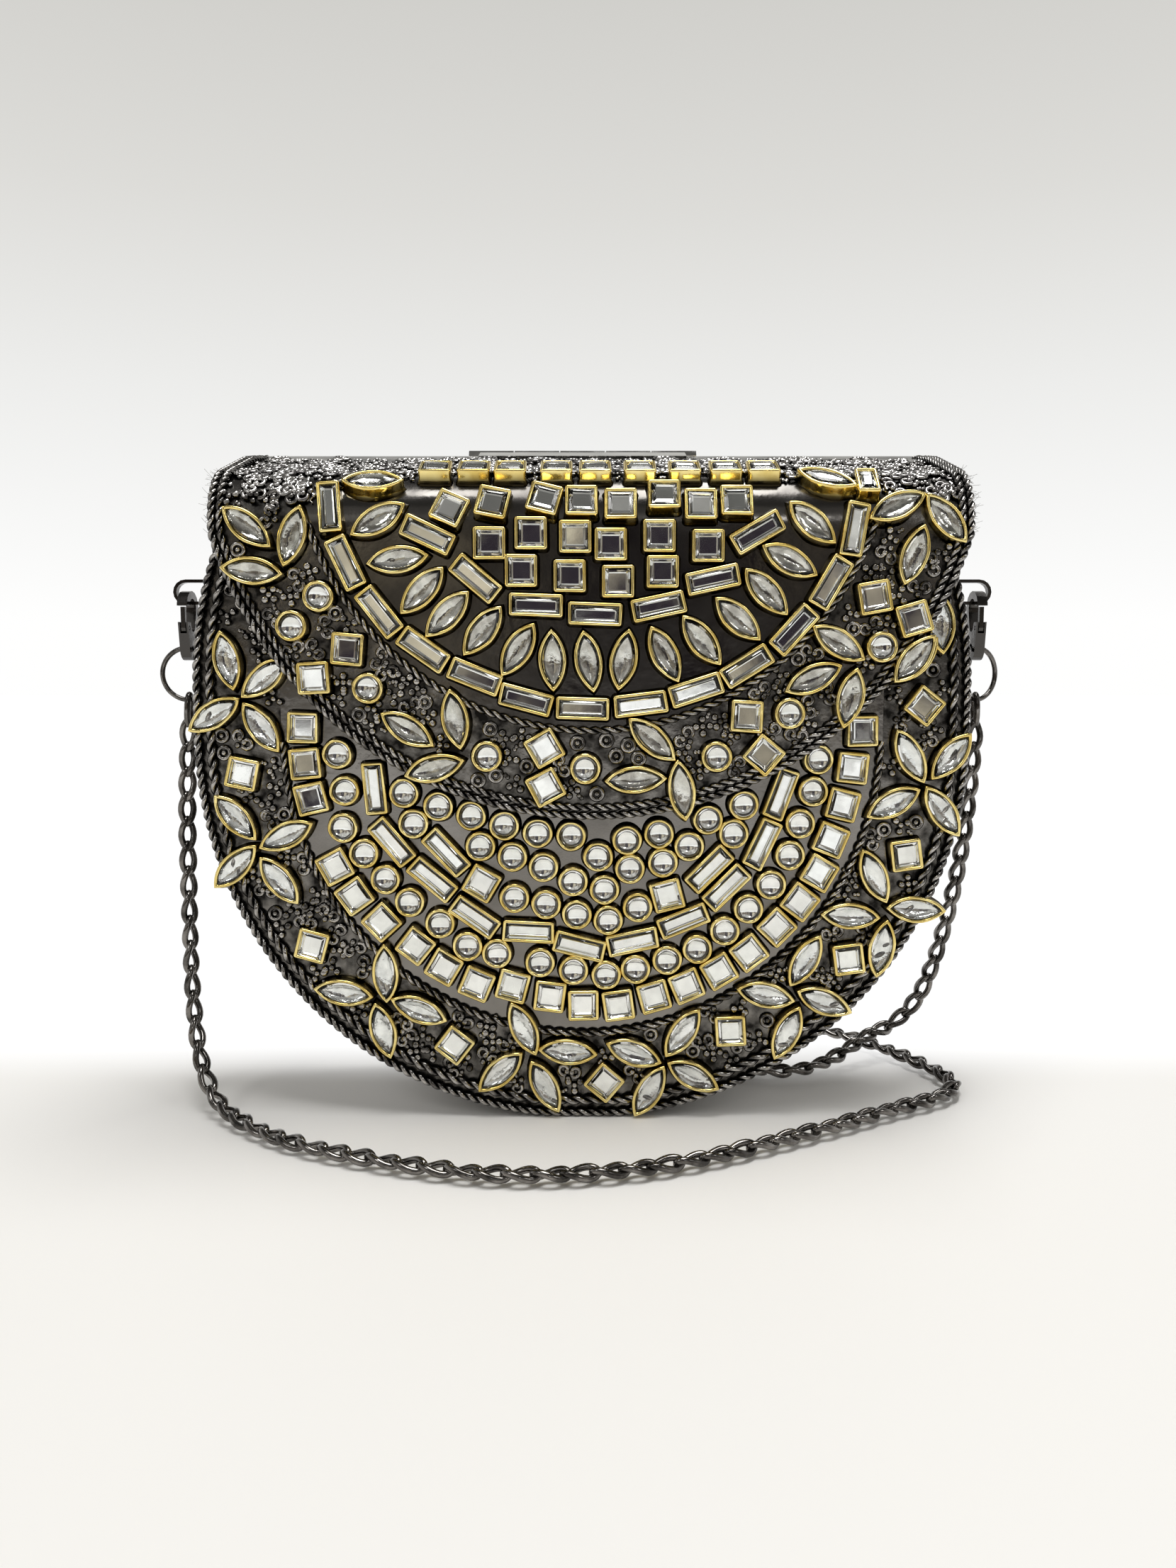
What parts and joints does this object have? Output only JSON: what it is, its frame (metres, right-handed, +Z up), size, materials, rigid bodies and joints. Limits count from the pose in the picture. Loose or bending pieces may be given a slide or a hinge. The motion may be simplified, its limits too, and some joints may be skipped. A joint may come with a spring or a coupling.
{
  "type": "clutch bag",
  "caption": "Half-moon sheet-metal clutch bag with a hinged flap, bezel-set stones, wire borders, side lugs and a chain strap on claw clasps.",
  "frame": {"origin": "under the middle of the bag, strap and its fittings apart, on the surface it stands on", "axes": "+X to the right of the bag seen from the front, -Y out of its front, +Z up"},
  "size_m": [0.2384, 0.121, 0.1863],
  "materials": {
    "gunmetal_sheet": "polished gunmetal plating with gold bezels and clear stones set in it",
    "black_lining": "black brushed fabric",
    "black_nickel_wire": "black nickel, polished on the high spots",
    "magnet_steel": "nickel plated",
    "bright_nickel": "bright nickel",
    "dark_nickel_fittings": "dark polished gunmetal plating"
  },
  "bodies": {
    "bag": {"gusset": "gunmetal_sheet", "front_panel": "gunmetal_sheet", "back_panel": "gunmetal_sheet", "body_lining": "black_lining", "body_magnet": "magnet_steel", "front_edge_rope": "black_nickel_wire", "front_border_rope": "black_nickel_wire", "front_motif_rope": "black_nickel_wire", "back_edge_rope": "black_nickel_wire", "hinge_body_leaf": "bright_nickel", "hinge_pin": "bright_nickel", "lug_left": "dark_nickel_fittings", "lug_right": "dark_nickel_fittings", "clasp_left": "dark_nickel_fittings", "clasp_right": "dark_nickel_fittings", "gate_pin_left": "dark_nickel_fittings", "gate_pin_right": "dark_nickel_fittings", "jump_ring_left": "dark_nickel_fittings", "jump_ring_right": "dark_nickel_fittings", "chain": "dark_nickel_fittings"},
    "flap": {"flap_panel": "gunmetal_sheet", "flap_lining": "black_lining", "flap_magnet": "magnet_steel", "flap_edge_rope": "black_nickel_wire", "flap_inner_rope": "black_nickel_wire", "flap_motif_rope": "black_nickel_wire", "hinge_flap_leaf": "bright_nickel"},
    "gate_left": {"clasp_gate_left": "dark_nickel_fittings"},
    "gate_right": {"clasp_gate_right": "dark_nickel_fittings"}
  },
  "joints": [
    {"name": "flap_hinge", "type": "hinge", "parent": "bag", "child": "flap", "pos_m": [0, 0.02515, 0.18478], "axis": [-1, 0, 0], "range_deg": [0, 180]},
    {"name": "gate_left_pivot", "type": "hinge", "parent": "bag", "child": "gate_left", "pos_m": [-0.1109, 0.00015, 0.13347], "axis": [-1, 0, 0], "range_deg": [0, 22], "stiffness_Nm_per_rad": 0.002, "springref_deg": -17.19},
    {"name": "gate_right_pivot", "type": "hinge", "parent": "bag", "child": "gate_right", "pos_m": [0.1109, 0.00015, 0.13347], "axis": [-1, 0, 0], "range_deg": [0, 22], "stiffness_Nm_per_rad": 0.002, "springref_deg": -17.19}
  ]
}
